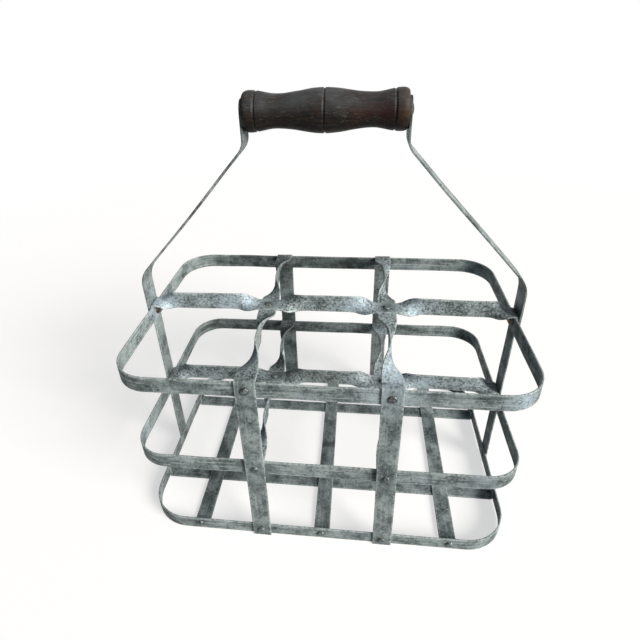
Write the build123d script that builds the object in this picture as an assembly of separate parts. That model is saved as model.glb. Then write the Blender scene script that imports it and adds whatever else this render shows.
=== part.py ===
from build123d import *
import math
import os

# Strap-steel bottle caddy: six bottle cells, a swinging bail and a turned wooden grip.
# Millimetres, +Z up, +X to the right and -Y to the front. The origin is on the ground
# under the middle of the caddy. Every strap, rivet and rod is a solid of its own.
os.makedirs("parts", exist_ok=True)

# Rings: flat strap on edge, bent to a rounded rectangle
ring_length = 340.0
ring_depth = 216.0
gauge = 1.5
ring_strap_width = 15.0
floor_ring_strap_width = 13.0
ring_corner_radius = 31.0
floor_ring_corner_radius = 38.0
edge_round = 0.4
top_ring_height = 182.0
middle_ring_height = 92.0
floor_ring_lift = 1.0
seam_width = 0.5
seam_depth = 0.4
seam_before_corner = 5.0

# Hoops and dividers: wider strap that lies flat at rings and crossings, on edge between
hoop_strap_width = 17.0
end_cell_extra = 2.0
fold_radius = 0.3
crossing_margin = 0.5
flat_at_ring = 4.0
short_ring_twist_share = 0.48
short_crossing_twist_share = 0.40
long_ring_twist = 18.0
long_crossing_twist = 24.0
long_edge_rise = 3.0
divider_tab_length = 12.5

# Floor straps: insets are from the ring's outer faces to the straps' middle lines
floor_strap_width = 15.0
side_floor_strap_inset = 53.0
front_floor_strap_inset = 62.0
back_floor_strap_inset = 47.0
floor_fold_radius = 0.5
floor_tab_height = 12.0

# Rivets
rivet_diameter = 4.0
rivet_head_diameter = 7.0
rivet_head_height = 2.0
rivet_tail_diameter = 6.0
rivet_tail_height = 1.2
rivet_clearance = 0.05

# Pivot rivets that carry the bail
pivot_diameter = 5.0
pivot_head_diameter = 10.0
pivot_head_height = 2.4
pivot_tail_diameter = 9.0
pivot_tail_height = 2.6
pivot_clearance = 0.06
pivot_side_play = 0.15

# Bail: two bent strap arms and the rod through the grip, heights above the pivots
bail_strap_width = 20.0
bail_gauge = 2.0
bail_leg_height = 41.0
bail_tab_length = 25.5
grip_height = 185.5
bail_lower_bend_radius = 26.0
bail_upper_bend_radius = 16.0
rod_diameter = 5.0
rod_head_diameter = 9.0
rod_head_height = 1.6

# Turned grip: distances are from the end of the grip
grip_length = 125.0
grip_end_play = 0.3
grip_bore_clearance = 0.08
grip_end_diameter = 26.0
grip_bead_diameter = 31.0
grip_neck_diameter = 25.5
grip_middle_diameter = 33.0
grip_bead_distance = 5.0
grip_neck_distance = 26.0
grip_groove_distance = 10.0
grip_groove_width = 1.0
grip_groove_depth = 0.5

cut_overrun = 2.0

# Steps of the bends and twists, counts and not lengths
twist_steps = 8
fold_steps = 3

# Places worked out from the sizes above. Of the three columns of cells, the two at the ends
# are wider by end_cell_extra, because their corners are round.
column_spacing = (ring_length - 2 * end_cell_extra) / 3
column_x = column_spacing / 2
side_floor_strap_x = ring_length / 2 - side_floor_strap_inset
front_floor_strap_y = front_floor_strap_inset - ring_depth / 2
back_floor_strap_y = ring_depth / 2 - back_floor_strap_inset
ring_top_edge = top_ring_height + ring_strap_width / 2
middle_top_edge = middle_ring_height + ring_strap_width / 2
floor_ring_height = floor_ring_lift + floor_ring_strap_width / 2
middle_ring_length = ring_length - 2 * gauge
middle_ring_depth = ring_depth - 2 * gauge
pivot_height = top_ring_height
bail_leg_x = ring_length / 2 + gauge + pivot_side_play + bail_gauge / 2
bail_tab_x = grip_length / 2 + grip_end_play + bail_gauge / 2
grip_z = pivot_height + grip_height

ALONG_X = Vector(1, 0, 0)
ALONG_Y = Vector(0, 1, 0)
UP = Vector(0, 0, 1)


# Rings
def ring(length, depth, corner_radius, strap_width, height, seam):
    """A closed band of strap on edge, with the shallow line of its welded seam."""
    outer = RectangleRounded(length, depth, corner_radius)
    inner = RectangleRounded(length - 2 * gauge, depth - 2 * gauge, corner_radius - gauge)
    band = extrude(outer - inner, amount=strap_width)
    rims = band.faces().filter_by(Axis.Z).edges()
    band = fillet(rims, edge_round)
    seam_cut = Box(seam_width, 2 * seam_depth, strap_width + cut_overrun)
    band -= Pos(seam, -depth / 2, strap_width / 2) * seam_cut
    return Pos(0, 0, height - strap_width / 2) * band


# Straps: every one is lofted through cross-sections along its route
def section(centre, across, through, width):
    """One cross-section of a strap: width lies along across, the gauge along through."""
    corners = []
    for side, face in ((-1, -1), (1, -1), (1, 1), (-1, 1)):
        corners.append(centre + across * (side * width / 2) + through * (face * gauge / 2))
    return make_face(Polyline(*corners, close=True))


def strap_loft(stations, along, offset, width, hand=1, ruled=True):
    """A strap through stations of (s, z, lean, turn) in the upright plane of along.

    s is the distance along the run, lean is the angle of the strap's outer face above
    along, and turn is the twist about the run, with hand saying which edge goes up.
    Straight and folded stretches are ruled, and a twist is one smooth loft.
    """
    side = ALONG_X + ALONG_Y - along
    sections = []
    for s, z, lean, turn in stations:
        centre = along * s + side * offset + UP * z
        outward = along * math.cos(math.radians(lean)) + UP * math.sin(math.radians(lean))
        twist = math.radians(turn) * hand
        across = side * math.cos(twist) + outward * math.sin(twist)
        through = outward * math.cos(twist) - side * math.sin(twist)
        sections.append(section(centre, across, through, width))
    return loft(sections, ruled=ruled)


def bend(centre_s, centre_z, radius, start_lean):
    """Stations round a quarter bend, lean growing from start_lean by a right angle."""
    stations = []
    for step in range(fold_steps + 1):
        lean = start_lean + 90 * step / fold_steps
        stations.append((centre_s + radius * math.cos(math.radians(lean)),
                         centre_z + radius * math.sin(math.radians(lean)), lean, 0))
    return stations


def twist(start, length, z, rising, rise):
    """Stations of a quarter twist, slow at both ends and quick in the middle.

    rising is whether it turns on edge or back. On edge, the strap is higher by rise.
    """
    stations = []
    for step in range(twist_steps + 1):
        step_share = step / twist_steps
        turned_share = (1 - math.cos(math.pi * step_share)) / 2
        if not rising:
            turned_share = 1 - turned_share
        stations.append((start + length * step_share, z + rise * turned_share, 90, 90 * turned_share))
    return stations


def crossing_strap(along, offset, half_length, edge_z, tab_bottom, crossings, lift, twists, hand,
                   rise=0):
    """A strap folded down over both sides of a ring and twisted between its crossings.

    half_length reaches the ring's outer face and edge_z is the ring edge that the strap
    lies on. lift raises or lowers it at each crossing, to pass over or under the other,
    and rise is how much higher it is where it stands on edge.
    """
    ring_twist, crossing_twist = twists
    flat_z = edge_z + gauge / 2
    half_crossing = hoop_strap_width / 2 + crossing_margin
    tab_s = half_length + gauge / 2
    fold_mid = fold_radius + gauge / 2
    fold_s = tab_s - fold_mid
    fold_z = flat_z - fold_mid

    starts = [(-half_length + flat_at_ring, flat_z, ring_twist)]
    ends = []
    for place in crossings:
        ends.append((place - half_crossing, flat_z + lift, crossing_twist))
        starts.append((place + half_crossing, flat_z + lift, crossing_twist))
    ends.append((half_length - flat_at_ring, flat_z, ring_twist))

    runs = [[(tab_s, tab_bottom, 0, 0)] + bend(fold_s, fold_z, fold_mid, 0)]
    for start, end in reversed(list(zip(starts, ends))):
        runs.append(twist(end[0] - end[2], end[2], end[1], False, rise)[::-1])
        runs.append(twist(start[0], start[2], start[1], True, rise)[::-1])
    runs.append(bend(-fold_s, fold_z, fold_mid, 90) + [(-tab_s, tab_bottom, 180, 0)])

    pieces = []
    for run in runs:
        is_fold = run in (runs[0], runs[-1])
        pieces.append(strap_loft(run, along, offset, hoop_strap_width, hand, is_fold))
    for run, next_run in zip(runs, runs[1:]):
        straight = [run[-1], next_run[0]]
        pieces.append(strap_loft(straight, along, offset, hoop_strap_width, hand))
    return pieces[0].fuse(*pieces[1:])


def floor_strap(along, offset, half_length, underside):
    """A straight floor strap with both ends turned up inside the floor ring."""
    tab_s = half_length - gauge / 2
    fold_mid = floor_fold_radius + gauge / 2
    fold_s = tab_s - fold_mid
    fold_z = underside + gauge / 2 + fold_mid
    stations = [(-tab_s, floor_tab_height, 180, 0)]
    stations += bend(-fold_s, fold_z, fold_mid, 180)
    stations += bend(fold_s, fold_z, fold_mid, 270)
    stations.append((tab_s, floor_tab_height, 360, 0))
    return strap_loft(stations, along, offset, floor_strap_width)


# Rivets
def dome(radius, height, base, facing):
    """The arc of a domed head from its rim to its crown, in the XZ plane."""
    ball = (radius ** 2 + height ** 2) / (2 * height)
    half_angle = math.asin(radius / ball) / 2
    middle = Vector(ball * math.sin(half_angle), 0,
                    base + facing * (height - ball + ball * math.cos(half_angle)))
    return ThreePointArc(Vector(radius, 0, base), middle, Vector(0, 0, base + facing * height))


def rivet(stack, shank, head, head_height, tail, tail_height):
    """A rivet along +Z that clamps from 0 to stack, tail below and head above."""
    head_arc = dome(head / 2, head_height, stack, 1)
    tail_arc = dome(tail / 2, tail_height, 0, -1)
    shank_line = Polyline((tail / 2, 0, 0), (shank / 2, 0, 0), (shank / 2, 0, stack), (head / 2, 0, stack))
    axis_line = Line((0, 0, stack + head_height), (0, 0, -tail_height))
    return revolve(make_face([head_arc, tail_arc, shank_line, axis_line]), Axis.Z)


def set_rivets(places, stack):
    """Common rivets and their drills. Each place is the point under a tail, and outward."""
    body = rivet(stack, rivet_diameter, rivet_head_diameter, rivet_head_height,
                 rivet_tail_diameter, rivet_tail_height)
    drill_radius = rivet_diameter / 2 + rivet_clearance
    drill = Pos(0, 0, stack / 2) * Cylinder(drill_radius, stack + cut_overrun)
    rivets = []
    drills = []
    for point, outward in places:
        seat = Plane(origin=point, z_dir=outward)
        rivets.append(seat * body)
        drills.append(seat * drill)
    return rivets, drills


def front_and_back(xs, inner_y, z):
    """Rivet places in the front and back of a ring."""
    return [(Vector(x, side * inner_y, z), ALONG_Y * side) for x in xs for side in (-1, 1)]


def left_and_right(ys, inner_x, z):
    """Rivet places in the sides of a ring."""
    return [(Vector(side * inner_x, y, z), ALONG_X * side) for y in ys for side in (-1, 1)]


columns = (-column_x, column_x)
floor_columns = (-side_floor_strap_x, 0, side_floor_strap_x)
floor_rows = (front_floor_strap_y, back_floor_strap_y)

top_places = front_and_back(columns, ring_depth / 2 - gauge, top_ring_height)
middle_places = front_and_back(columns, middle_ring_depth / 2 - gauge, middle_ring_height)
middle_places += left_and_right((0,), middle_ring_length / 2 - gauge, middle_ring_height)
bottom_places = front_and_back(columns, ring_depth / 2 - gauge, floor_ring_height)
bottom_places += left_and_right((0,), ring_length / 2 - gauge, floor_ring_height)
floor_places = front_and_back(floor_columns, ring_depth / 2 - 2 * gauge, floor_ring_height)
floor_places += left_and_right(floor_rows, ring_length / 2 - 2 * gauge, floor_ring_height)
top_crossing_places = [(Vector(x, 0, ring_top_edge - gauge / 2), UP) for x in columns]
middle_crossing_places = [(Vector(x, 0, middle_top_edge - gauge / 2), UP) for x in columns]

top_rivets, top_drills = set_rivets(top_places, 2 * gauge)
middle_rivets, middle_drills = set_rivets(middle_places, 3 * gauge)
bottom_rivets, bottom_drills = set_rivets(bottom_places, 2 * gauge)
floor_rivets, floor_drills = set_rivets(floor_places, 2 * gauge)
top_crossing_rivets, top_crossing_drills = set_rivets(top_crossing_places, 2 * gauge)
middle_crossing_rivets, middle_crossing_drills = set_rivets(middle_crossing_places, 2 * gauge)

# Pivot rivets: through ring, long hoop and bail arm, which has a little side play
pivot_stack = 2 * gauge + bail_gauge + 2 * pivot_side_play
pivot_body = rivet(pivot_stack, pivot_diameter, pivot_head_diameter, pivot_head_height,
                   pivot_tail_diameter, pivot_tail_height)
pivot_drill_radius = pivot_diameter / 2 + pivot_clearance
pivot_drill = Pos(0, 0, pivot_stack / 2) * Cylinder(pivot_drill_radius, pivot_stack + cut_overrun)
pivot_rivets = []
pivot_drills = []
for point, outward in left_and_right((0,), ring_length / 2 - gauge, pivot_height):
    pivot_seat = Plane(origin=point, z_dir=outward)
    pivot_rivets.append(pivot_seat * pivot_body)
    pivot_drills.append(pivot_seat * pivot_drill)

# The three rings
seam_x = ring_length / 2 - ring_corner_radius - seam_before_corner
ring_top = ring(ring_length, ring_depth, ring_corner_radius, ring_strap_width,
                top_ring_height, seam_x)
ring_middle = ring(middle_ring_length, middle_ring_depth, ring_corner_radius - gauge,
                   ring_strap_width, middle_ring_height, -seam_x)
ring_floor = ring(ring_length, ring_depth, floor_ring_corner_radius, floor_ring_strap_width,
                  floor_ring_height, (column_x + side_floor_strap_x) / 2)
ring_top -= top_drills + pivot_drills
ring_middle -= middle_drills
ring_floor -= bottom_drills + floor_drills


def short_twists(half_depth):
    """Twist lengths of a strap from front to back, at its ring and at its crossing."""
    free = half_depth - flat_at_ring - hoop_strap_width / 2 - crossing_margin
    return free * short_ring_twist_share, free * short_crossing_twist_share


# Hoops: down both sides to the ground, and the top dividers between them
hoop_twists = short_twists(ring_depth / 2)
divider_twists = short_twists(middle_ring_depth / 2)
long_twists = (long_ring_twist, long_crossing_twist)
hoop_drills = top_drills + middle_drills + bottom_drills + top_crossing_drills
hoop_left = crossing_strap(ALONG_Y, -column_x, ring_depth / 2, ring_top_edge, 0,
                           (0,), -gauge / 2, hoop_twists, 1)
hoop_right = crossing_strap(ALONG_Y, column_x, ring_depth / 2, ring_top_edge, 0,
                            (0,), -gauge / 2, hoop_twists, -1)
hoop_long = crossing_strap(ALONG_X, 0, ring_length / 2, ring_top_edge, 0,
                           columns, gauge / 2, long_twists, 1, long_edge_rise)
hoop_left -= hoop_drills
hoop_right -= hoop_drills
hoop_long -= middle_drills + bottom_drills + top_crossing_drills + pivot_drills

# Middle dividers: their tabs go down between the middle ring and the hoops
tab_bottom = middle_top_edge - divider_tab_length
divider_drills = middle_drills + middle_crossing_drills
divider_left = crossing_strap(ALONG_Y, -column_x, middle_ring_depth / 2, middle_top_edge,
                              tab_bottom, (0,), -gauge / 2, divider_twists, 1)
divider_right = crossing_strap(ALONG_Y, column_x, middle_ring_depth / 2, middle_top_edge,
                               tab_bottom, (0,), -gauge / 2, divider_twists, -1)
divider_long = crossing_strap(ALONG_X, 0, middle_ring_length / 2, middle_top_edge,
                              tab_bottom, columns, gauge / 2, long_twists, 1, long_edge_rise)
divider_left -= divider_drills
divider_right -= divider_drills
divider_long -= divider_drills

# Floor straps: two long ones on the ground, three short ones across them
floor_long = [floor_strap(ALONG_X, y, ring_length / 2 - gauge, 0) - floor_drills for y in floor_rows]
floor_short = [floor_strap(ALONG_Y, x, ring_depth / 2 - gauge, gauge) - floor_drills
               for x in floor_columns]

# Bail arms: leg on the pivot, arm leaning in, tab on the grip's end
arm_points = [(bail_leg_x, 0, pivot_height),
              (bail_leg_x, 0, pivot_height + bail_leg_height),
              (bail_tab_x, 0, grip_z - bail_tab_length),
              (bail_tab_x, 0, grip_z)]
arm_middle = (Vector(*arm_points[1]) + Vector(*arm_points[2])) / 2
lower_path = FilletPolyline(*arm_points[:2], arm_middle, radius=bail_lower_bend_radius)
upper_path = FilletPolyline(arm_middle, *arm_points[2:], radius=bail_upper_bend_radius)
arm_path = Wire(lower_path.edges() + upper_path.edges())
arm_section = Pos(bail_leg_x, 0, pivot_height) * Rectangle(bail_gauge, bail_strap_width)
arm_end = Rot(0, 90, 0) * Cylinder(bail_strap_width / 2, bail_gauge)
rod_drill = Rot(0, 90, 0) * Cylinder(rod_diameter / 2 + rivet_clearance, bail_gauge + cut_overrun)
bail_arm_right = sweep(arm_section, path=arm_path)
bail_arm_right += Pos(bail_leg_x, 0, pivot_height) * arm_end
bail_arm_right += Pos(bail_tab_x, 0, grip_z) * arm_end
bail_arm_right -= pivot_drills
bail_arm_right -= Pos(bail_tab_x, 0, grip_z) * rod_drill
bail_arm_left = mirror(bail_arm_right, about=Plane.YZ)

# Grip rod: through both tabs, its ends hammered to heads
rod_span = 2 * (bail_tab_x + bail_gauge / 2)
grip_rod = rivet(rod_span, rod_diameter, rod_head_diameter, rod_head_height,
                 rod_head_diameter, rod_head_height)
grip_rod = Plane(origin=(-rod_span / 2, 0, grip_z), z_dir=ALONG_X) * grip_rod

# Grip: turned on its own axis, then laid along X
half_grip = grip_length / 2
profile = [(grip_middle_diameter / 2, 0, 0),
           (grip_neck_diameter / 2, 0, half_grip - grip_neck_distance),
           (grip_bead_diameter / 2, 0, half_grip - grip_bead_distance),
           (grip_end_diameter / 2, 0, half_grip)]
lengthwise = (0, 0, 1)
curve = Spline(*profile, tangents=[lengthwise, lengthwise, lengthwise, (-1, 0, 0)])
outline = Polyline((grip_end_diameter / 2, 0, half_grip), (0, 0, half_grip), (0, 0, 0),
                   (grip_middle_diameter / 2, 0, 0))
half_turned = revolve(make_face([curve, outline]), Axis.Z)
turned = half_turned + mirror(half_turned, about=Plane.XY)


def groove(place, radius):
    """A shallow turned line round the grip."""
    blank = Cylinder(radius + cut_overrun, grip_groove_width)
    return Pos(0, 0, place) * (blank - Cylinder(radius - grip_groove_depth, grip_groove_width))


groove_z = half_grip - grip_groove_distance
bead_cut = groove(groove_z, grip_bead_diameter / 2 - grip_groove_depth)
turned -= groove(0, grip_middle_diameter / 2)
turned -= [bead_cut, mirror(bead_cut, about=Plane.XY)]
turned -= Cylinder(rod_diameter / 2 + grip_bore_clearance, grip_length + cut_overrun)
grip = Pos(0, 0, grip_z) * (Rot(0, 90, 0) * turned)

parts = {
    "ring_top": ring_top,
    "ring_middle": ring_middle,
    "ring_floor": ring_floor,
    "hoop_left": hoop_left,
    "hoop_right": hoop_right,
    "hoop_long": hoop_long,
    "divider_left": divider_left,
    "divider_right": divider_right,
    "divider_long": divider_long,
    "floor_strap_front": floor_long[0],
    "floor_strap_back": floor_long[1],
    "floor_strap_left": floor_short[0],
    "floor_strap_centre": floor_short[1],
    "floor_strap_right": floor_short[2],
    "rivets_ring_top": Compound(top_rivets),
    "rivets_ring_middle": Compound(middle_rivets),
    "rivets_ring_floor": Compound(bottom_rivets),
    "rivets_floor_straps": Compound(floor_rivets),
    "rivets_top_crossings": Compound(top_crossing_rivets),
    "rivets_middle_crossings": Compound(middle_crossing_rivets),
    "pivot_rivet_left": pivot_rivets[0],
    "pivot_rivet_right": pivot_rivets[1],
    "bail_arm_left": bail_arm_left,
    "bail_arm_right": bail_arm_right,
    "grip_rod": grip_rod,
    "grip": grip,
}
for node, solid in parts.items():
    export_step(solid, os.path.join("parts", node + ".step"))
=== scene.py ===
import math

import bmesh
import bpy
from mathutils import Matrix, Vector, noise


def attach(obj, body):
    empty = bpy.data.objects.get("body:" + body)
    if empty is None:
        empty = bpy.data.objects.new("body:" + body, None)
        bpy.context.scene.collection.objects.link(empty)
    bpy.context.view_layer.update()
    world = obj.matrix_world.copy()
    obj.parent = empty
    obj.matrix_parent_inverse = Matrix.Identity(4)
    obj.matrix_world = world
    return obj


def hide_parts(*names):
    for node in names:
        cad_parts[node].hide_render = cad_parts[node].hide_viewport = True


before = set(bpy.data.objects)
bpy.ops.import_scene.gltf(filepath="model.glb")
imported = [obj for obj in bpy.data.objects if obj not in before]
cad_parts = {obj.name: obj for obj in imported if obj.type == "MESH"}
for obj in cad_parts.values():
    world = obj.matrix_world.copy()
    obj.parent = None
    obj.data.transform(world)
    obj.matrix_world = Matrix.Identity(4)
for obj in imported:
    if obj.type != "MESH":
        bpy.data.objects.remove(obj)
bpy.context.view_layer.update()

# Camera
# It stands close in front of the caddy, a little to the right of its middle, and looks down
# into the cells. The shift is the photograph's own framing.
bpy.ops.object.camera_add(
    location=(0.02674, -0.36988, 0.42994),
    rotation=(math.radians(60.460), math.radians(1.905), math.radians(6.220)))
camera = bpy.context.object
camera.name = "camera"
camera.data.lens = 26.19
camera.data.shift_x = 0.0245
camera.data.shift_y = -0.062
camera.data.clip_start = 0.01
bpy.context.scene.camera = camera
bpy.context.scene.view_settings.view_transform = "Standard"


# Floor and light
# A pale floor, one broad soft lamp to the right of the camera and a low even light all round. A
# dark card out of sight on the left keeps the faces that look left dark. The background is white
# to the camera and in reflections, and doesn't light the object.
def colour(hex_value):
    """The linear colour of an sRGB hex value."""
    channels = [int(hex_value[i:i + 2], 16) / 255 for i in (1, 3, 5)]
    linear = [c / 12.92 if c <= 0.04045 else ((c + 0.055) / 1.055) ** 2.4 for c in channels]
    return (*linear, 1.0)


def add(tree, kind, settings, links=None):
    """Adds a shader node with its settings, and links sources to its inputs."""
    made = tree.nodes.new("ShaderNode" + kind)
    for key, value in settings.items():
        if isinstance(key, str) and hasattr(made, key):
            setattr(made, key, value)
        else:
            made.inputs[key].default_value = value
    for key, source in (links or {}).items():
        tree.links.new(source, made.inputs[key])
    return made


def new_material(name):
    """An empty material and its node tree."""
    material = bpy.data.materials.new(name)
    material.use_nodes = True
    material.node_tree.nodes.clear()
    return material, material.node_tree


def seen_directly(tree):
    """1 for camera, glossy and transmission rays, and 0 for the light that they gather."""
    path = add(tree, "LightPath", {})
    glossy = add(tree, "Math", {"operation": "MAXIMUM"},
                 {0: path.outputs["Is Camera Ray"], 1: path.outputs["Is Glossy Ray"]})
    both = add(tree, "Math", {"operation": "MAXIMUM"},
               {0: glossy.outputs[0], 1: path.outputs["Is Transmission Ray"]})
    return both.outputs[0]


world = bpy.data.worlds.new("studio")
world.use_nodes = True
world.node_tree.nodes.clear()
bpy.context.scene.world = world
tree = world.node_tree
room = add(tree, "Background", {"Color": colour("#eaf1ff"), "Strength": 0.16})
white = add(tree, "Background", {"Color": colour("#ffffff"), "Strength": 1.0})
sky = add(tree, "MixShader", {},
          {0: seen_directly(tree), 1: room.outputs[0], 2: white.outputs[0]})
add(tree, "OutputWorld", {}, {"Surface": sky.outputs[0]})

bpy.ops.object.light_add(type="SUN", rotation=(math.radians(28), math.radians(58), 0))
softbox = bpy.context.object
softbox.name = "softbox"
softbox.data.energy = 5.3
softbox.data.angle = math.radians(30)
softbox.data.color = colour("#fffaf2")[:3]

card_middle = (-1.3, 0.2, 0.9)
card_size = (1.8, 3.2, 1)
bpy.ops.mesh.primitive_plane_add(size=1, location=card_middle, rotation=(0, math.radians(90), 0))
card = bpy.context.object
card.scale = card_size
bpy.ops.object.transform_apply(location=True, rotation=True, scale=True)
card.name = "dark_card"
card.visible_camera = False
black_card, tree = new_material("black_card")
felt = add(tree, "BsdfDiffuse", {"Color": colour("#050505")})
add(tree, "OutputMaterial", {}, {"Surface": felt.outputs[0]})
card.data.materials.append(black_card)

floor_side = 60.0
# The floor's own shade fades to plain white between these distances from the caddy, in metres
white_from = 0.55
white_beyond = 1.25
bpy.ops.mesh.primitive_plane_add(size=floor_side)
floor = bpy.context.object
floor.name = "floor"
floor_paper, tree = new_material("floor_paper")
lit = add(tree, "BsdfDiffuse", {"Color": colour("#b4b4b4")})
glow = add(tree, "Emission", {"Color": colour("#ffffff"), "Strength": 0.60})
lit = add(tree, "AddShader", {}, {0: lit.outputs[0], 1: glow.outputs[0]})
where = add(tree, "TexCoord", {}).outputs["Object"]
distance = add(tree, "VectorMath", {"operation": "LENGTH"}, {0: where}).outputs["Value"]
far = add(tree, "MapRange", {1: white_from, 2: white_beyond}, {0: distance}).outputs[0]
sweep = add(tree, "Emission", {"Color": colour("#ffffff"), "Strength": 1.0})
shown = add(tree, "MixShader", {}, {0: far, 1: lit.outputs[0], 2: sweep.outputs[0]})
bounced = add(tree, "BsdfDiffuse", {"Color": colour("#545454")})
paper = add(tree, "MixShader", {},
            {0: seen_directly(tree), 1: bounced.outputs[0], 2: shown.outputs[0]})
add(tree, "OutputMaterial", {}, {"Surface": paper.outputs[0]})
floor.data.materials.append(floor_paper)

# Rings
# Three closed rings of galvanised strap on edge, each bent from one length and welded where
# its ends meet. The middle ring is smaller by a gauge all round, because it lies inside the
# tabs of the middle dividers.
MM = 0.001
ALONG_X = Vector((1, 0, 0))
ALONG_Y = Vector((0, 1, 0))
UP = Vector((0, 0, 1))

ring_length = 340.0
ring_depth = 216.0
gauge = 1.5
ring_strap_width = 15.0
floor_ring_strap_width = 13.0
ring_corner_radius = 31.0
floor_ring_corner_radius = 38.0
top_ring_height = 182.0
middle_ring_height = 92.0
floor_ring_height = 7.5
middle_ring_length = ring_length - 2 * gauge
middle_ring_depth = ring_depth - 2 * gauge
seam_x = 134.0
floor_seam_x = 86.5
column_x = 56.0
side_floor_strap_x = 117.0
floor_rows = (-46.0, 61.0)
cut_edge = 0.35
# A strap is drawn from section to section, this far apart in mm, or in this many steps
station = 7.0
twist_station = 2.5
fewest_twist_steps = 6
corner_steps = 14
cuts_across = 5
strap_smooth_angle = 42
# A ring's weld is a shallow groove, where the section is a little thinner and narrower
weld_length = 0.6
groove = (1, 0.66, 0.97)
groove_undone = (1, 1 / 0.66, 1 / 0.97)
# In metres: how near the seam a face counts as lying in it, and how near points are merged
same_place = 2e-5
merge_distance = 3e-5


def scale_of(size_mm):
    """The texture scale at which one feature is this many millimetres."""
    return 1000 / size_mm


def mixed(tree, low, high, factor):
    """A colour between two, each a hex value or a socket."""
    made = add(tree, "Mix", {"data_type": "RGBA"}, {0: factor})
    # The colours' own sockets, because the others are for numbers and vectors
    for index, source in ((6, low), (7, high)):
        if isinstance(source, str):
            made.inputs[index].default_value = colour(source)
        else:
            tree.links.new(source, made.inputs[index])
    return made.outputs[2]


def ramp(tree, value, low, high, to_low=0.0, to_high=1.0):
    """A value mapped smoothly from one range to another."""
    made = add(tree, "MapRange", {"interpolation_type": "SMOOTHSTEP", 1: low, 2: high,
                                  3: to_low, 4: to_high}, {0: value})
    return made.outputs[0]


def product(tree, value, other):
    """Two values, or a value and a number, multiplied."""
    if isinstance(other, (int, float)):
        return add(tree, "Math", {"operation": "MULTIPLY", 1: other}, {0: value}).outputs[0]
    return add(tree, "Math", {"operation": "MULTIPLY"}, {0: value, 1: other}).outputs[0]


def total(tree, *values):
    """Several values added up."""
    result = values[0]
    for value in values[1:]:
        result = add(tree, "Math", {"operation": "ADD"}, {0: result, 1: value}).outputs[0]
    return result


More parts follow.
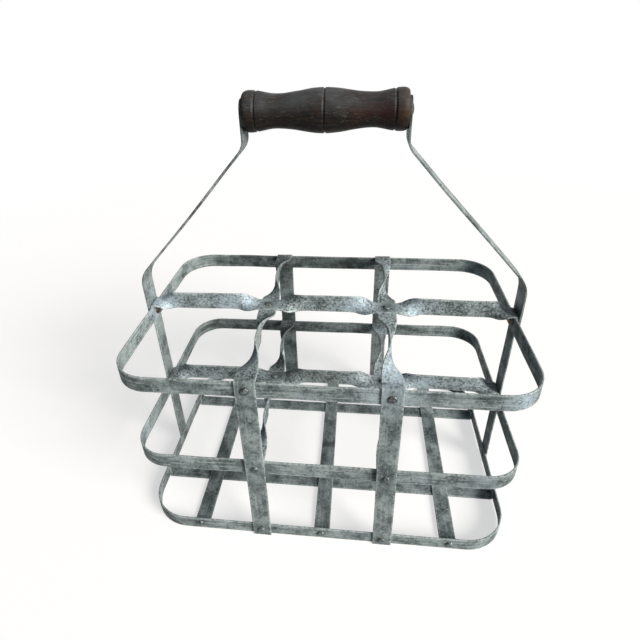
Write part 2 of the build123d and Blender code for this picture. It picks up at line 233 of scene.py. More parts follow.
# Galvanised steel: hot-dipped zinc over mild steel, gone dull with age, so that little of the
# metal shows through its skin. Grey-green zinc with a fine spangle, pale blue bloom in patches,
# pits where it was worked, rolling streaks along the strap, edges worn and painted bright as a
# highlight, painted highlights and painted shade in patches, and dirt and painted shade round the
# rivets.
def make_galvanised(name, dark, light, roughness, streaks, dirt_and_shade, edge_wear_and_highlight):
    material, tree = new_material(name)
    place = add(tree, "Attribute", {"attribute_name": "strap_place"}).outputs["Vector"]
    work = add(tree, "Attribute", {"attribute_name": "strap_work"}).outputs["Vector"]
    parts = add(tree, "SeparateXYZ", {}, {0: work})
    twisted = parts.outputs[0]
    edge = parts.outputs[1]
    rivet = parts.outputs[2]
    # Painted highlight: pale patches where the light falls brightest
    painted_highlight = add(tree, "Attribute", {"attribute_name": "strap_painted_highlight"}).outputs["Fac"]
    # Painted shade: darker patches at the back and on the floor, where shade falls
    painted_shade = add(tree, "Attribute", {"attribute_name": "strap_painted_shade"}).outputs["Fac"]
    where = add(tree, "TexCoord", {}).outputs["Object"]

    cloud = add(tree, "TexNoise", {"Scale": scale_of(16), "Detail": 6.0, "Roughness": 0.66},
                {"Vector": where}).outputs["Fac"]
    spangle = add(tree, "TexVoronoi", {"Scale": scale_of(2.6), "Randomness": 1.0},
                  {"Vector": place}).outputs["Color"]
    spangle = add(tree, "SeparateXYZ", {}, {0: spangle}).outputs[0]
    stretched = add(tree, "Mapping", {"Scale": (0.045, 1.0, 1.0)}, {"Vector": place}).outputs[0]
    streak = add(tree, "TexNoise", {"Scale": scale_of(2.0), "Detail": 3.0, "Roughness": 0.65},
                 {"Vector": stretched}).outputs["Fac"]
    grit = add(tree, "TexNoise", {"Scale": scale_of(2.4), "Detail": 3.0, "Roughness": 0.75},
               {"Vector": place}).outputs["Fac"]
    pits = add(tree, "TexNoise", {"Scale": scale_of(1.9), "Detail": 2.0, "Roughness": 0.6},
               {"Vector": where}).outputs["Fac"]
    patch = add(tree, "TexNoise", {"Scale": scale_of(38), "Detail": 3.0, "Roughness": 0.55},
                {"Vector": where}).outputs["Fac"]

    # Zinc in darker and lighter clouds, with rolling streaks, crystals, specks and flecks
    base = mixed(tree, dark, light, ramp(tree, cloud, 0.36, 0.64))
    dark_streaks = product(tree, ramp(tree, streak, 0.53, 0.68), streaks)
    pale_streaks = product(tree, ramp(tree, streak, 0.46, 0.32), streaks)
    streaked = mixed(tree, mixed(tree, base, "#343a3a", dark_streaks), "#b4bfc1", pale_streaks)
    crystals = mixed(tree, streaked, "#a9b5b6", product(tree, spangle, 0.20))
    specks = mixed(tree, crystals, "#232827", product(tree, ramp(tree, grit, 0.55, 0.67), 0.62))
    flecks = mixed(tree, specks, "#c6d0d1", product(tree, ramp(tree, grit, 0.43, 0.32), 0.42))
    # Pale blue bloom in patches, more of it in the twists, and painted highlights: pale blue
    # patches where the light falls brightest
    bloomed = mixed(tree, flecks, "#c2d1dc", product(tree, ramp(tree, patch, 0.58, 0.72), 0.28))
    frost = product(tree, product(tree, twisted, ramp(tree, patch, 0.46, 0.66)), 0.35)
    frosted = mixed(tree, bloomed, "#c2d1dc", frost)
    # Painted highlight: pale blue where the light falls brightest
    highlight_share = product(tree, painted_highlight, ramp(tree, grit, 0.62, 0.40, 0.25, 0.80))
    highlighted = mixed(tree, frosted, "#c4d8e6", highlight_share)
    # White salts and dark pits in the twists, with shallower pits under the painted highlights
    salt = product(tree, product(tree, twisted, ramp(tree, pits, 0.44, 0.34)), 0.30)
    salted = mixed(tree, highlighted, "#e6eef2", salt)
    rough = product(tree, twisted, ramp(tree, painted_highlight, 0.2, 0.9, 0.75, 0.30))
    pitted = mixed(tree, salted, "#262b2b", product(tree, rough, ramp(tree, pits, 0.53, 0.62)))
    # Edges worn and painted bright, then painted shade in patches, and dirt and painted shade
    # round the rivets
    # Bright edges: partly wear, partly a painted highlight along every cut edge
    bright_edge = product(tree, edge, ramp(tree, grit, 0.60, 0.40, edge_wear_and_highlight / 5, edge_wear_and_highlight))
    edged = mixed(tree, pitted, "#bcc6c6", bright_edge)
    # Painted shade: darker patches at the back and on the floor, where shade falls
    shade_paint = product(tree, painted_shade, ramp(tree, cloud, 0.30, 0.70, 0.70, 0.35))
    shaded = mixed(tree, edged, "#2c3131", shade_paint)
    # Dirt and painted shade round the rivets: a dark halo where shade falls in the crevices
    finished = mixed(tree, shaded, "#1e201e", product(tree, rivet, dirt_and_shade))

    shine = total(tree, ramp(tree, cloud, 0.3, 0.7, roughness + 0.08, roughness - 0.08),
                  product(tree, spangle, 0.12), product(tree, edge, -0.12))
    height = total(tree, product(tree, grit, 0.6), product(tree, spangle, 0.12),
                   product(tree, streak, 0.35), product(tree, product(tree, pits, twisted), -1.8))
    relief = add(tree, "Bump", {"Strength": 0.8, "Distance": 0.0004}, {"Height": height})
    shader = add(tree, "BsdfPrincipled", {"Metallic": 0.15, "Specular IOR Level": 0.12},
                 {"Base Color": finished, "Roughness": shine, "Normal": relief.outputs[0]})
    add(tree, "OutputMaterial", {}, {"Surface": shader.outputs[0]})
    return material


ring_zinc = make_galvanised("galvanised_ring_steel", "#4b5657", "#96a3a4", roughness=0.54,
                            streaks=0.75, dirt_and_shade=0.45, edge_wear_and_highlight=0.55)
wide_zinc = make_galvanised("galvanised_wide_steel", "#4f5a5b", "#93a0a1", roughness=0.54,
                            streaks=0.38, dirt_and_shade=0.45, edge_wear_and_highlight=0.55)

# Painted highlights, pale where the light falls brightest on the zinc: the middle of each patch
# and its reach, in mm
highlight_patches = (
    ((-158, 0, 189), 16), ((-95, 0, 188), 18), ((-76, 0, 190), 12), ((26, 0, 190), 17),
    ((80, 0, 190), 11), ((56, -90, 188), 21), ((56, -66, 186), 15), ((150, -107, 182), 10),
    ((95, 0, 98), 12),
)
# Painted shade: darker patches on the inner faces at the back and on the floor straps, where
# shade falls, in the same way
shade_patches = (
    ((-70, 108, 182), 62), ((10, 108, 182), 40), ((-56, 108, 90), 60), ((-110, 106, 92), 50),
    ((56, 108, 120), 30), ((-117, -40, 3), 50), ((0, 0, 3), 40),
)

# The strap being drawn: its piece and width, how far it has come, and where its end is and heads
strap = {}


def start_strap(place, heading, turned, width, thick):
    """Lays down the end section of a strap: a rounded rectangle, turned to face heading."""
    bpy.ops.object.select_all(action="DESELECT")
    bpy.ops.mesh.primitive_plane_add(size=1, location=place * MM, rotation=turned)
    piece = bpy.context.object
    piece.scale = (width * MM, thick * MM, 1)
    across = piece.rotation_euler.to_matrix() @ ALONG_X
    through = piece.rotation_euler.to_matrix() @ ALONG_Y
    bpy.ops.object.transform_apply(location=True, rotation=True, scale=True)
    piece.data.attributes.new("strap_place", "FLOAT_VECTOR", "POINT")
    piece.data.attributes.new("strap_work", "FLOAT_VECTOR", "POINT")
    # Painted highlight and painted shade, noted per point
    piece.data.attributes.new("strap_painted_highlight", "FLOAT", "POINT")
    piece.data.attributes.new("strap_painted_shade", "FLOAT", "POINT")
    strap.update(piece=piece, place=place.copy(), heading=heading.copy(), along=0.0, width=width)

    bpy.ops.object.mode_set(mode="EDIT")
    bpy.ops.mesh.select_all(action="SELECT")
    bpy.ops.mesh.bevel(offset=cut_edge * MM, offset_pct=0, segments=2, affect="VERTICES")
    bpy.ops.mesh.select_mode(type="EDGE")
    bpy.ops.mesh.select_all(action="DESELECT")
    mesh = bmesh.from_edit_mesh(piece.data)
    for edge in mesh.edges:
        edge.select = edge.calc_length() > 2 * thick * MM
    bmesh.update_edit_mesh(piece.data)
    bpy.ops.mesh.subdivide(number_cuts=cuts_across)
    bpy.ops.mesh.select_mode(type="VERT")
    bpy.ops.mesh.select_all(action="SELECT")
    mesh = bmesh.from_edit_mesh(piece.data)
    layer = mesh.verts.layers.float_vector["strap_place"]
    for vertex in mesh.verts:
        offset = vertex.co - place * MM
        vertex[layer] = Vector((0, offset.dot(across), offset.dot(through)))
    bmesh.update_edit_mesh(piece.data)


def push(step, work=0.0):
    """Extrudes the end section by one step and notes how far along the strap it is."""
    strap["place"] += step
    strap["along"] += step.length
    bpy.ops.mesh.extrude_region_move(TRANSFORM_OT_translate={"value": step * MM})
    mesh = bmesh.from_edit_mesh(strap["piece"].data)
    place_layer = mesh.verts.layers.float_vector["strap_place"]
    work_layer = mesh.verts.layers.float_vector["strap_work"]
    for vertex in mesh.verts:
        if vertex.select:
            vertex[place_layer].x = strap["along"] * MM
            vertex[work_layer].x = work


def turn(axis, degrees):
    """Turns the end section about a world axis through its middle. With no window the
    operator turns the other way."""
    bpy.ops.transform.rotate(value=-math.radians(degrees), orient_axis=axis, orient_type="GLOBAL",
                             center_override=strap["place"] * MM)


def run(length, rise=0.0, work=0.0):
    """A straight stretch of strap, which may climb a little as it goes."""
    steps = max(1, round(length / station))
    for _ in range(steps):
        push(strap["heading"] * (length / steps) + UP * (rise / steps), work)


def bend(axis, degrees, radius, steps):
    """A bend about a world axis, radius being that of the strap's middle line."""
    part = math.radians(degrees) / steps
    half_turn = Matrix.Rotation(part / 2, 3, axis)
    for _ in range(steps):
        strap["heading"].rotate(half_turn)
        push(strap["heading"] * (2 * radius * math.sin(abs(part) / 2)))
        strap["heading"].rotate(half_turn)
        turn(axis, math.degrees(part))


def twist(axis, degrees, length, rise=0.0):
    """A twist in place, slow at both ends and quick in the middle, which may climb."""
    steps = max(fewest_twist_steps, round(length / twist_station))
    shares = [(1 - math.cos(math.pi * step / steps)) / 2 for step in range(steps + 1)]
    for before, after in zip(shares, shares[1:]):
        push(strap["heading"] * (length / steps) + UP * (rise * (after - before)), 1.0)
        turn(axis, degrees * (after - before))


def narrow(scale):
    """Makes the end section smaller or larger about its middle."""
    bpy.ops.transform.resize(value=scale, center_override=strap["place"] * MM)


def close_ring():
    """Takes out both end sections of a ring and merges their rims, as its weld does."""
    bpy.ops.mesh.select_mode(type="FACE")
    bpy.ops.mesh.select_all(action="DESELECT")
    mesh = bmesh.from_edit_mesh(strap["piece"].data)
    seam = strap["place"] * MM
    for face in mesh.faces:
        face.select = all(abs(vertex.co.x - seam.x) < same_place and vertex.co.y < 0
                          for vertex in face.verts)
    bmesh.update_edit_mesh(strap["piece"].data)
    bpy.ops.mesh.delete(type="ONLY_FACE")
    bpy.ops.mesh.select_mode(type="VERT")
    bpy.ops.mesh.select_all(action="SELECT")
    bpy.ops.mesh.remove_doubles(threshold=merge_distance)


# Hand work, in metres: how far it moves a point, how often it changes in a metre, how far from a
# pivot it starts, and over what reach it grows from there and from the ground. Its seed keeps it
# the same in every run, because without one the noise is shifted by the clock.
hand_seed = 1
noise.seed_set(hand_seed)
hand_swing = 0.00045
hand_pattern = 24
pivot_place = (0.172, 0.182)
still_round_pivot = 0.012
growth_from_pivot = 0.03
growth_from_ground = 0.004


def handmade(point):
    """How far hand work has moved a point of the frame: one field for all its pieces, so what
    touches still touches, and nothing at the pivots."""
    pivot_x, pivot_z = pivot_place
    reach = min((point - Vector((side * pivot_x, 0, pivot_z))).length for side in (-1, 1))
    ease = min(1.0, max(0.0, (reach - still_round_pivot) / growth_from_pivot))
    ease *= min(1.0, point.z / growth_from_ground)
    return noise.noise_vector(point * hand_pattern) * (hand_swing * ease)


def nearness(point, patches):
    """1 in the middle of a patch, and 0 well outside all of them."""
    return max(math.exp(-((point - Vector(middle) * MM).length / (reach * MM)) ** 2)
               for middle, reach in patches)


# Wear and painted light, in metres: how far from the edge the bright edge starts, over what
# breadth it grows to full, how far dirt and painted shade reach from a rivet, and how deep a
# twist's dents are and how many in a metre
bright_edge_from = 0.0009
bright_edge_growth = 0.0006
rivet_dirt_and_shade_reach = 0.0052
dent_depth = 0.00016
dent_pattern = 260


def wear_strap(rivet_places, moved, dirt_and_shade_reach):
    """Moves the strap's points by the hand work, and notes its edges, its rivets and where
    highlights and shade are painted on it, for the finish."""
    piece = strap["piece"]
    place = piece.data.attributes["strap_place"].data
    work = piece.data.attributes["strap_work"].data
    highlight_paint = piece.data.attributes["strap_painted_highlight"].data
    shade_paint = piece.data.attributes["strap_painted_shade"].data
    half = strap["width"] * MM / 2
    rivets = [Vector(point) * MM for point in rivet_places]
    normals = [vertex.normal.copy() for vertex in piece.data.vertices]
    for vertex in piece.data.vertices:
        spot = place[vertex.index].vector
        twisted = work[vertex.index].vector[0]
        near = min([(vertex.co - rivet).length for rivet in rivets], default=1.0)
        # Bright edge: partly wear, partly a painted highlight
        edge = min(1.0, max(0.0, (abs(spot[1]) - half + bright_edge_from) / bright_edge_growth))
        # Dirt and painted shade round each rivet
        shade = math.exp(-(near / dirt_and_shade_reach) ** 2)
        # Painted highlight and painted shade in patches
        highlight_paint[vertex.index].value = nearness(vertex.co, highlight_patches)
        shade_paint[vertex.index].value = nearness(vertex.co, shade_patches)
        work[vertex.index].vector = (twisted, edge, shade)
        dent = noise.noise(Vector(spot) * dent_pattern) * dent_depth * twisted
        vertex.co += moved(vertex.co) + normals[vertex.index] * dent


def finish_strap(name, node, body, material, rivet_places, moved=handmade,
                 dirt_and_shade_reach=rivet_dirt_and_shade_reach):
    """Rounds and dents the drawn strap, and puts it in its CAD node's place."""
    piece = strap["piece"]
    bpy.ops.mesh.select_all(action="SELECT")
    bpy.ops.mesh.normals_make_consistent(inside=False)
    bpy.ops.object.mode_set(mode="OBJECT")
    piece.modifiers.new("rounding", "SUBSURF")
    bpy.ops.object.modifier_apply(modifier="rounding")
    piece.name = name
    wear_strap(rivet_places, moved, dirt_and_shade_reach)
    bpy.ops.object.shade_smooth_by_angle(angle=math.radians(strap_smooth_angle))
    piece.data.materials.append(material)
    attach(piece, body)
    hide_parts(node)


def draw_ring(node, length, depth, corner_radius, width, height, seam, rivet_places):
    """A ring from its seam in the front, rightwards round its four corners and back."""
    middle_radius = corner_radius - gauge / 2
    start_strap(Vector((seam, -(depth - gauge) / 2, height)), ALONG_X, (0, math.radians(90), 0),
                width, gauge)
    narrow(groove)
    push(ALONG_X * weld_length)
    narrow(groove_undone)
    push(ALONG_X * weld_length)
    run(length / 2 - corner_radius - seam - 2 * weld_length)
    for side in (depth, length, depth):
        bend("Z", 90, middle_radius, corner_steps)
        run(side - 2 * corner_radius)
    bend("Z", 90, middle_radius, corner_steps)
    run(length / 2 - corner_radius + seam - 2 * weld_length)
    push(ALONG_X * weld_length)
    push(ALONG_X * weld_length)
    narrow(groove)
    close_ring()
    finish_strap("strap_" + node, node, "frame", ring_zinc, rivet_places)


def round_the_ring(xs, ys, y_reach, x_reach, height):
    """Rivet places and outward directions: front and back at xs, and both sides at ys."""
    places = [((x, side * y_reach, height), (0, side, 0)) for x in xs for side in (-1, 1)]
    return places + [((side * x_reach, y, height), (side, 0, 0)) for y in ys for side in (-1, 1)]


def dirt_and_shade_round(xs, ys, height):
    """Where dirt and painted shade darken the zinc round the rivets on a ring's outer face."""
    on_face = round_the_ring(xs, ys, ring_depth / 2, ring_length / 2, height)
    return [place for place, outward in on_face]


columns = (-column_x, column_x)
floor_columns = (-side_floor_strap_x, 0.0, side_floor_strap_x)
top_rivets = dirt_and_shade_round(columns, (0.0,), top_ring_height)
middle_rivets = dirt_and_shade_round(columns, (0.0,), middle_ring_height)
floor_rivets = dirt_and_shade_round(columns, (0.0,), floor_ring_height)
floor_strap_rivets = dirt_and_shade_round(floor_columns, floor_rows, floor_ring_height)

draw_ring("ring_top", ring_length, ring_depth, ring_corner_radius, ring_strap_width,
          top_ring_height, seam_x, top_rivets)
draw_ring("ring_middle", middle_ring_length, middle_ring_depth, ring_corner_radius - gauge,
          ring_strap_width, middle_ring_height, -seam_x, middle_rivets)
draw_ring("ring_floor", ring_length, ring_depth, floor_ring_corner_radius, floor_ring_strap_width,
          floor_ring_height, floor_seam_x, floor_rivets + floor_strap_rivets)

# Middle dividers and hoops
# Each is one length of wider galvanised strap, folded down over both sides of a ring. It is
# twisted on edge and back between a ring and a crossing, so that it lies flat at both. The
# dividers end in short tabs, and the hoops' legs go down to the ground.
hoop_strap_width = 17.0
fold_middle_radius = 1.05
fold_steps = 4
flat_at_ring = 4.0
half_crossing = 9.0
# Twists at the ring and at a crossing: as shares of the length between them, or in mm
short_twist_shares = (0.48, 0.40)
long_twists = (18.0, 24.0)
long_edge_rise = 3.0
# How worked the zinc looks where a strap stands on edge, a twist being 1
band_work = 0.8
divider_tab_length = 12.5
# A short first and last step keeps the cut ends square
end_step = 0.4


def short_twists(half_length):
    """Twist lengths of a strap from front to back, at its ring and at its crossing."""
    return [(half_length - flat_at_ring - half_crossing) * share for share in short_twist_shares]


def layout(along):
    """For a strap along X or Y: the axes it twists and folds about, the sense of its folds, the
    way across it, and how its end section is turned."""
    if along == ALONG_X:
        return "X", "Y", 1, ALONG_Y, (0, 0, math.radians(90))
    return "Y", "X", -1, ALONG_X, (0, 0, 0)


def draw_crossing_strap(node, along, offset, half_length, edge_height, bottom, lift, crossings,
                        twists, hand, rise):
    """A strap folded over a ring at both ends, flat at its crossings and twisted between. lift
    is how much higher it lies at a crossing than at the ring, and rise where it is on edge."""
    ring_twist, crossing_twist = twists
    twist_axis, fold_axis, fold_sign, side, turned = layout(along)
    twist_sign = hand * fold_sign
    start = along * -(half_length + gauge / 2) + side * offset + UP * bottom
    leg = edge_height + gauge / 2 - fold_middle_radius - bottom
    start_strap(start, UP, turned, hoop_strap_width, gauge)
    push(UP * end_step)
    run(leg - end_step)
    bend(fold_axis, 90 * fold_sign, fold_middle_radius, fold_steps)
    level = 0.0
    stops = [(-half_length + flat_at_ring, ring_twist, 0.0)]
    for crossing in crossings:
        stops.append((crossing - half_crossing, -crossing_twist, lift))
        stops.append((crossing + half_crossing, crossing_twist, lift))
    stops.append((half_length - flat_at_ring, -ring_twist, 0.0))
    for place, length, height in stops:
        here = strap["place"].dot(along)
        if length > 0:
            run(place - here)
            twist(twist_axis, 90 * twist_sign, length, rise)
        else:
            run(place + length - here, height - level, band_work)
            twist(twist_axis, -90 * twist_sign, -length, -rise)
        level = height
    run(half_length + gauge / 2 - fold_middle_radius - strap["place"].dot(along))
    bend(fold_axis, 90 * fold_sign, fold_middle_radius, fold_steps)
    run(leg - end_step)
    push(UP * -end_step)
    finish_strap("strap_" + node, node, "frame", wide_zinc, all_rivets)


top_edge = top_ring_height + ring_strap_width / 2
middle_edge = middle_ring_height + ring_strap_width / 2
tab_bottom = middle_edge - divider_tab_length
crossing_rivets = [(x, 0.0, edge + gauge) for x in columns for edge in (top_edge, middle_edge)]
all_rivets = top_rivets + middle_rivets + floor_rivets + crossing_rivets
half_length = ring_length / 2
half_depth = ring_depth / 2

for node, x, hand in (("left", -column_x, 1), ("right", column_x, -1)):
    draw_crossing_strap("divider_" + node, ALONG_Y, x, half_depth - gauge, middle_edge,
                        tab_bottom, -gauge / 2, (0.0,), short_twists(half_depth - gauge), hand,
                        rise=0.0)
    draw_crossing_strap("hoop_" + node, ALONG_Y, x, half_depth, top_edge, 0.0, -gauge / 2,
                        (0.0,), short_twists(half_depth), hand, rise=0.0)
draw_crossing_strap("divider_long", ALONG_X, 0.0, half_length - gauge, middle_edge, tab_bottom,
                    gauge / 2, columns, long_twists, 1, rise=long_edge_rise)
draw_crossing_strap("hoop_long", ALONG_X, 0.0, half_length, top_edge, 0.0, gauge / 2,
                    columns, long_twists, 1, rise=long_edge_rise)

# Floor straps
# Two long galvanised straps on the ground and three short ones across them. The ends of all
# five are turned up inside the floor ring and riveted to it.
floor_strap_width = 15.0
floor_fold_middle_radius = 1.25
floor_tab_height = 12.0


def draw_floor_strap(node, along, offset, half_length, underside):
    """A straight strap from one turned-up end to the other."""
    _, fold_axis, fold_sign, side, turned = layout(along)
    tab = half_length - gauge / 2
    fold_height = underside + gauge / 2 + floor_fold_middle_radius
    start = along * -tab + side * offset + UP * floor_tab_height
    start_strap(start, -UP, turned, floor_strap_width, gauge)
    push(UP * -end_step)
    run(floor_tab_height - fold_height - end_step)
    bend(fold_axis, -90 * fold_sign, floor_fold_middle_radius, fold_steps)
    run(2 * (tab - floor_fold_middle_radius))
    bend(fold_axis, -90 * fold_sign, floor_fold_middle_radius, fold_steps)
    run(floor_tab_height - fold_height - end_step)
    push(UP * end_step)
    finish_strap("strap_" + node, node, "frame", wide_zinc,
                 floor_strap_rivets)


for node, y in zip(("front", "back"), floor_rows):
    draw_floor_strap("floor_strap_" + node, ALONG_X, y, half_length - gauge, 0.0)
for node, x in zip(("left", "centre", "right"), floor_columns):
    draw_floor_strap("floor_strap_" + node, ALONG_Y, x, half_depth - gauge, gauge)

# Rivets and pivot rivets
# Common rivets of soft steel, set cold: a domed head outside and a flattened tail inside. They
# are darker than the zinc, because hammering took it off their heads. The two that carry the
# bail are larger, and rub, so they have rusted.
rivet_size = {"shank": 4.0, "head": 7.0, "head_height": 2.0, "tail": 6.0, "tail_height": 1.2}
pivot_size = {"shank": 5.0, "head": 10.0, "head_height": 2.4, "tail": 9.0, "tail_height": 2.6}
bail_gauge = 2.0
side_play = 0.15
pivot_stack = 2 * gauge + bail_gauge + 2 * side_play
rivet_sides = 28
dome_steps = 6
head_fullness = 0.8
tail_fullness = 0.6
hammer_mark_width = 1.8
hammer_mark_depth = 0.22
rivet_smooth_angle = 50
# How far each copy of a rivet is turned from the one before, in radians
rivet_turn = 1.7
# How near two points of a spun piece are merged, in metres
spun_merge_distance = 1e-5


def make_rivet_steel(name, dark, light, rust_colour, rust_share):
    """Hammered steel: fine dints that catch the light, and rust where the zinc has gone."""
    material, tree = new_material(name)
    where = add(tree, "TexCoord", {}).outputs["Object"]
    dints = add(tree, "TexNoise", {"Scale": scale_of(1.6), "Detail": 4.0, "Roughness": 0.6},
                {"Vector": where}).outputs["Fac"]
    rust = add(tree, "TexNoise", {"Scale": scale_of(3.0), "Detail": 3.0},
               {"Vector": where}).outputs["Fac"]
    rusted = product(tree, ramp(tree, rust, 0.44, 0.62), rust_share)
    steel = mixed(tree, dark, light, ramp(tree, dints, 0.35, 0.68))
    steel = mixed(tree, steel, rust_colour, rusted)
    relief = add(tree, "Bump", {"Strength": 0.6, "Distance": 0.0003}, {"Height": dints})
    shader = add(tree, "BsdfPrincipled", {"Metallic": 0.65},
                 {"Base Color": steel, "Roughness": ramp(tree, dints, 0.3, 0.7, 0.36, 0.52),
                  "Normal": relief.outputs[0]})
    add(tree, "OutputMaterial", {}, {"Surface": shader.outputs[0]})
    return material


rivet_steel = make_rivet_steel("hammered_rivet_steel", "#2b3030", "#7f8a8b", "#43352c",
                               rust_share=0.30)
pivot_steel = make_rivet_steel("rusted_pivot_steel", "#35302d", "#6a655f", "#4b3326",
                               rust_share=0.80)


def spin_profile(points, axis, centre, sides):
    """Extrudes one vertex through the profile's points and spins it once round the axis."""
    bpy.ops.object.select_all(action="DESELECT")
    bpy.ops.mesh.primitive_plane_add(size=MM, location=points[0] * MM)
    piece = bpy.context.object
    bpy.ops.object.transform_apply(location=True, rotation=True, scale=True)
    bpy.ops.object.mode_set(mode="EDIT")
    bpy.ops.mesh.select_mode(type="VERT")
    bpy.ops.mesh.select_all(action="SELECT")
    bpy.ops.mesh.merge(type="CENTER")
    for here, there in zip(points, points[1:]):
        bpy.ops.mesh.extrude_region_move(TRANSFORM_OT_translate={"value": (there - here) * MM})
    bpy.ops.mesh.select_all(action="SELECT")
    bpy.ops.mesh.spin(steps=sides, angle=math.tau, center=centre * MM, axis=axis)
    bpy.ops.mesh.select_all(action="SELECT")
    bpy.ops.mesh.remove_doubles(threshold=spun_merge_distance)
    bpy.ops.mesh.normals_make_consistent(inside=False)
    bpy.ops.object.mode_set(mode="OBJECT")
    return piece


def dome(diameter, height, fullness):
    """Half the outline of a dome over height 0, from its crown to just short of its rim."""
    angles = [math.pi / 2 * step / dome_steps for step in range(dome_steps)]
    return [Vector((diameter / 2 * math.sin(a), 0, height * math.cos(a) ** fullness))
            for a in angles]


def rivet_profile(stack, size):
    """Half the outline of a rivet that clamps from 0 to stack along +Z, crown to tail."""
    head = [point + UP * stack
            for point in dome(size["head"], size["head_height"], head_fullness)]
    rims = [Vector((size["head"] / 2, 0, stack)), Vector((size["shank"] / 2, 0, stack)),
            Vector((size["shank"] / 2, 0, 0)), Vector((size["tail"] / 2, 0, 0))]
    tail = dome(size["tail"], -size["tail_height"], tail_fullness)
    return head + rims + tail[::-1]


def make_rivet(stack, size):
    """One rivet along +Z from the origin, to be copied."""
    return spin_profile(rivet_profile(stack, size), (0, 0, 1), Vector((0, 0, 0)), rivet_sides)


def dint(piece, width, depth):
    """Marks a piece with shallow hammer or tool marks of this width and depth, in mm."""
    normals = [vertex.normal.copy() for vertex in piece.data.vertices]
    for vertex in piece.data.vertices:
        mark = noise.noise(vertex.co * scale_of(width))
        vertex.co += normals[vertex.index] * (mark * depth * MM)


def set_rivets(node, master, places, material):
    """Copies of one rivet, each turned to face outward from its place, as one piece."""
    copies = []
    for number, (place, outward) in enumerate(places):
        bpy.ops.object.select_all(action="DESELECT")
        master.select_set(True)
        bpy.context.view_layer.objects.active = master
        bpy.ops.object.duplicate()
        rivet = bpy.context.object
        seat = Vector(place) * MM
        rivet.location = seat + handmade(seat)
        facing = Vector(outward).to_track_quat("Z", "Y").to_matrix()
        rivet.rotation_euler = (facing @ Matrix.Rotation(rivet_turn * number, 3, "Z")).to_euler()
        bpy.ops.object.transform_apply(location=True, rotation=True, scale=True)
        copies.append(rivet)
    bpy.ops.object.select_all(action="DESELECT")
    for rivet in copies:
        rivet.select_set(True)
    bpy.context.view_layer.objects.active = copies[0]
    if len(copies) > 1:
        bpy.ops.object.join()
    piece = bpy.context.object
    piece.name = "set_" + node
    dint(piece, hammer_mark_width, hammer_mark_depth)
    bpy.ops.object.shade_smooth_by_angle(angle=math.radians(rivet_smooth_angle))
    piece.data.materials.append(material)
    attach(piece, "frame")
    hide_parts(node)


def inside_the_ring(xs, ys, layers, height):
    """Where rivets start on a ring, this many gauges in from the hoops' inner faces."""
    return round_the_ring(xs, ys, half_depth - layers * gauge, half_length - layers * gauge,
                          height)


def over_crossings(edge):
    """Rivet places at the two crossings on a ring's upper edge."""
    return [((x, 0, edge - gauge / 2), (0, 0, 1)) for x in columns]


two_thick = make_rivet(2 * gauge, rivet_size)
three_thick = make_rivet(3 * gauge, rivet_size)
pivot = make_rivet(pivot_stack, pivot_size)

set_rivets("rivets_ring_top", two_thick,
           inside_the_ring(columns, (), 1, top_ring_height), rivet_steel)
set_rivets("rivets_ring_middle", three_thick,
           inside_the_ring(columns, (0,), 2, middle_ring_height), rivet_steel)
set_rivets("rivets_ring_floor", two_thick,
           inside_the_ring(columns, (0,), 1, floor_ring_height), rivet_steel)
set_rivets("rivets_floor_straps", two_thick,
           inside_the_ring(floor_columns, floor_rows, 2, floor_ring_height), rivet_steel)
set_rivets("rivets_top_crossings", two_thick, over_crossings(top_edge), rivet_steel)
set_rivets("rivets_middle_crossings", two_thick, over_crossings(middle_edge), rivet_steel)
for name, side in (("left", -1), ("right", 1)):
    set_rivets("pivot_rivet_" + name, pivot,
               [((side * (half_length - gauge), 0, top_ring_height), (side, 0, 0))], pivot_steel)
for master in (two_thick, three_thick, pivot):
    bpy.data.objects.remove(master)

# Bail arms
# Two arms of thicker galvanised strap with rounded ends, which turn on the pivot rivets. Each
# is bent in above the frame and back upright at the grip, by hand, so neither is quite straight.
bail_strap_width = 20.0
bail_leg_height = 41.0
bail_tab_length = 25.5
bail_lower_bend_radius = 26.0
bail_upper_bend_radius = 16.0
lower_bend_steps = 9
upper_bend_steps = 7
grip_length = 125.0
grip_end_play = 0.3
grip_height = 185.5
pivot_height = top_ring_height
bail_leg_x = half_length + gauge + side_play + bail_gauge / 2
bail_tab_x = grip_length / 2 + grip_end_play + bail_gauge / 2
# A rounded end: how far from the tip, and the share of the strap's width there
end_widths = ((0.0, 0.08), (0.4, 0.28), (1.2, 0.475), (2.6, 0.673), (5.0, 0.866), (10.0, 1.0))
# Dirt and painted shade darken the arms round the rod, at these heights above it, and reach this
# far in metres
dirt_and_shade_rises = (-4, 3, 9)
grip_dirt_and_shade_reach = 0.012
# The arms stray from straight between these heights in mm, growing to full over the third. The
# pattern is how often they do in a metre, and the swing by how many metres
stray_from = 200
stray_to = 340
stray_growth = 30
stray_pattern = 9
stray_swing = 0.0011
bail_steel = make_galvanised("bail_galvanised_steel", "#414748", "#939e9f", roughness=0.46,
                             streaks=0.40, dirt_and_shade=0.92, edge_wear_and_highlight=0.05)


def bent_by_hand(point):
    """How far the bail's arms stray from straight, and nothing at the pivots and the grip."""
    height = point.z / MM
    above = min(1.0, max(0.0, (height - stray_from) / stray_growth))
    below = min(1.0, max(0.0, (stray_to - height) / stray_growth))
    return noise.noise_vector(point * stray_pattern) * (stray_swing * (above * below))


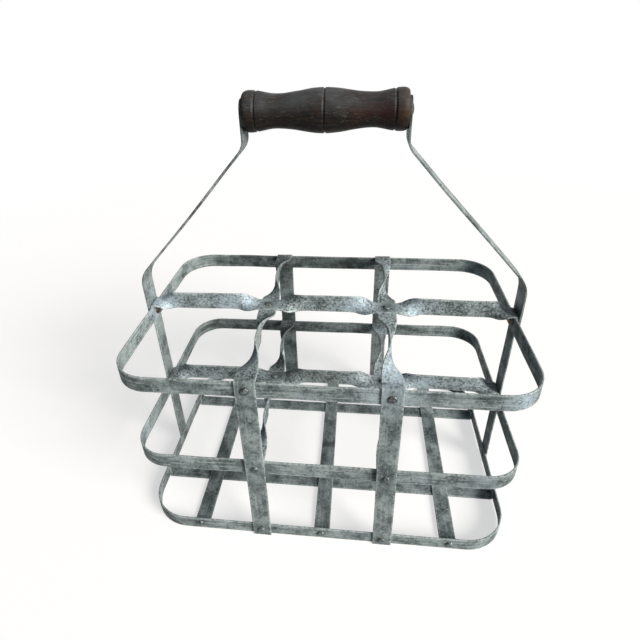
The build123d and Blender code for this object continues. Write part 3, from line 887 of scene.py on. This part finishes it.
def draw_bail_arm(node, side):
    """One arm, from its rounded end at the pivot to the one at the grip. side is -1 or 1."""
    across = bail_leg_x - bail_tab_x
    climb = grip_height - bail_tab_length - bail_leg_height
    lean = math.degrees(math.atan2(across, climb))
    lower = bail_lower_bend_radius * math.tan(math.radians(lean) / 2)
    upper = bail_upper_bend_radius * math.tan(math.radians(lean) / 2)
    foot = Vector((side * bail_leg_x, 0, pivot_height - bail_strap_width / 2))
    start_strap(foot, UP, (0, 0, math.radians(90)), bail_strap_width, bail_gauge)
    narrow((1, end_widths[0][1], 1))
    for (here, width), (there, next_width) in zip(end_widths, end_widths[1:]):
        push(UP * (there - here))
        narrow((1, next_width / width, 1))
    run(bail_leg_height - lower)
    bend("Y", -side * lean, bail_lower_bend_radius, lower_bend_steps)
    run(math.hypot(across, climb) - lower - upper)
    bend("Y", side * lean, bail_upper_bend_radius, upper_bend_steps)
    run(bail_tab_length - upper)
    for (here, width), (there, next_width) in zip(end_widths[::-1], end_widths[-2::-1]):
        push(UP * (here - there))
        narrow((1, next_width / width, 1))
    # Dirt and painted shade round the pivot and the rod
    dirt_and_shade_places = [(side * bail_leg_x, 0, pivot_height)]
    dirt_and_shade_places += [(side * bail_tab_x, 0, pivot_height + grip_height + rise) for rise in dirt_and_shade_rises]
    finish_strap("arm_" + node, node, "bail", bail_steel, dirt_and_shade_places, bent_by_hand,
                 grip_dirt_and_shade_reach)


draw_bail_arm("bail_arm_left", -1)
draw_bail_arm("bail_arm_right", 1)

# Grip rod
# A steel rod through both arms and the grip, its ends hammered over to low heads, and nearly
# black.
rod_size = {"shank": 5.0, "head": 9.0, "head_height": 1.6, "tail": 9.0, "tail_height": 1.6}
rod_mark_depth = 0.2
blackened_steel = make_rivet_steel("blackened_rod_steel", "#171514", "#4a4744", "#2c1f18",
                                   rust_share=0.60)
grip_z = pivot_height + grip_height
rod_reach = bail_tab_x + bail_gauge / 2
rod_axis = Vector((0, 0, grip_z))
rod_outline = [Vector((point.z - rod_reach, 0, grip_z + point.x))
               for point in rivet_profile(2 * rod_reach, rod_size)]
rod = spin_profile(rod_outline, (1, 0, 0), rod_axis, rivet_sides)
rod.name = "rod_through_grip"
dint(rod, hammer_mark_width, rod_mark_depth)
bpy.ops.object.shade_smooth_by_angle(angle=math.radians(rivet_smooth_angle))
rod.data.materials.append(blackened_steel)
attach(rod, "bail")
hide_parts("grip_rod")

# Grip
# A handle turned from one piece of hardwood, beaded at both ends, scored round the middle and
# beside each bead, and stained nearly black. A grey sheen of reflected light is painted on its
# top, and hands have worn the right bead.
grip_end_radius = 13.0
grip_bead_radius = 15.5
grip_neck_radius = 12.75
grip_middle_radius = 16.5
grip_bead_distance = 5.0
grip_neck_distance = 26.0
grip_score_distance = 10.0
score_half_width = 1.2
score_depth = 0.8
score_steps = 3
grip_steps = 110
grip_sides = 72
bore_radius = 2.4
tool_mark_width = 9.0
tool_mark_depth = 0.22
grip_smooth_angle = 35
# In metres: the heights between which a painted grey sheen, standing in for reflected light,
# covers the top, and the places along the grip between which the right bead is worn
sheen_from = 0.3640
sheen_to = 0.3800
worn_from = 0.0515
worn_to = 0.0600
half_grip = grip_length / 2
score_places = (grip_score_distance - half_grip, 0.0, half_grip - grip_score_distance)


def between(low, high, share):
    """A smooth step from one radius to another."""
    return low + (high - low) * (1 - math.cos(math.pi * share)) / 2


def grip_radius(place):
    """The grip's radius at a place along it, scored lines included."""
    from_end = half_grip - abs(place)
    if from_end < grip_bead_distance:
        rounding = math.sqrt(1 - (1 - from_end / grip_bead_distance) ** 2)
        radius = grip_end_radius + (grip_bead_radius - grip_end_radius) * rounding
    elif from_end < grip_neck_distance:
        share = (from_end - grip_bead_distance) / (grip_neck_distance - grip_bead_distance)
        radius = between(grip_bead_radius, grip_neck_radius, share)
    else:
        share = (from_end - grip_neck_distance) / (half_grip - grip_neck_distance)
        radius = between(grip_neck_radius, grip_middle_radius, share)
    for score in score_places:
        radius -= score_depth * max(0.0, 1 - abs(place - score) / score_half_width)
    return radius


stations = [half_grip * (1 - math.cos(math.pi * step / grip_steps)) - half_grip
            for step in range(grip_steps + 1)]
stations += [score + score_half_width * part / score_steps
             for score in score_places for part in range(-score_steps, score_steps + 1)]
outline = [Vector((-half_grip, 0, grip_z + bore_radius))]
outline += [Vector((place, 0, grip_z + grip_radius(place))) for place in sorted(stations)]
outline += [Vector((half_grip, 0, grip_z + bore_radius)), outline[0]]
grip = spin_profile(outline, (1, 0, 0), rod_axis, grip_sides)
grip.name = "turned_grip"
dint(grip, tool_mark_width, tool_mark_depth)
bpy.ops.object.shade_smooth_by_angle(angle=math.radians(grip_smooth_angle))

# Hardwood, stained and waxed: fine lines of grain along the grip, drawn a little coarser than
# the real pores so that they show, a painted grey sheen of reflected light on the top, and a
# satin shine.
turned_wood, tree = new_material("dark_stained_hardwood")
where = add(tree, "TexCoord", {}).outputs["Object"]
grain_place = add(tree, "Mapping", {"Scale": (0.06, 1.0, 1.0)}, {"Vector": where}).outputs[0]
grain = add(tree, "TexNoise", {"Scale": scale_of(1.5), "Detail": 4.0, "Roughness": 0.65},
            {"Vector": grain_place}).outputs["Fac"]
pores = add(tree, "Mapping", {"Scale": (0.16, 1.0, 1.0)}, {"Vector": where}).outputs[0]
pores = add(tree, "TexNoise", {"Scale": scale_of(0.9), "Detail": 3.0, "Roughness": 0.7},
            {"Vector": pores}).outputs["Fac"]
tone = add(tree, "TexNoise", {"Scale": scale_of(20), "Detail": 3.0},
           {"Vector": where}).outputs["Fac"]
stain = mixed(tree, "#060505", "#251e18", ramp(tree, grain, 0.38, 0.66))
stain = mixed(tree, stain, "#6b665a", product(tree, ramp(tree, pores, 0.56, 0.68), 0.45))
stain = mixed(tree, stain, "#33150f", product(tree, ramp(tree, tone, 0.56, 0.70), 0.40))
parts = add(tree, "SeparateXYZ", {}, {0: where})
# Painted sheen: the top is greyed where reflected light falls on it
painted_sheen = product(tree, ramp(tree, parts.outputs[2], sheen_from, sheen_to),
                  ramp(tree, tone, 0.62, 0.36, 0.35, 1.0))
stain = mixed(tree, stain, "#62666b", product(tree, painted_sheen, 0.42))
bead_wear = product(tree, ramp(tree, parts.outputs[0], worn_from, worn_to),
                    ramp(tree, tone, 0.42, 0.60))
stain = mixed(tree, stain, "#4f3b25", product(tree, bead_wear, 0.35))
height = total(tree, grain, product(tree, pores, 0.8))
relief = add(tree, "Bump", {"Strength": 0.5, "Distance": 0.0003}, {"Height": height})
shader = add(tree, "BsdfPrincipled", {"IOR": 1.5, "Specular IOR Level": 0.16},
             {"Base Color": stain, "Roughness": ramp(tree, tone, 0.35, 0.65, 0.40, 0.56),
              "Normal": relief.outputs[0]})
add(tree, "OutputMaterial", {}, {"Surface": shader.outputs[0]})
grip.data.materials.append(turned_wood)
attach(grip, "grip")
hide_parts("grip")
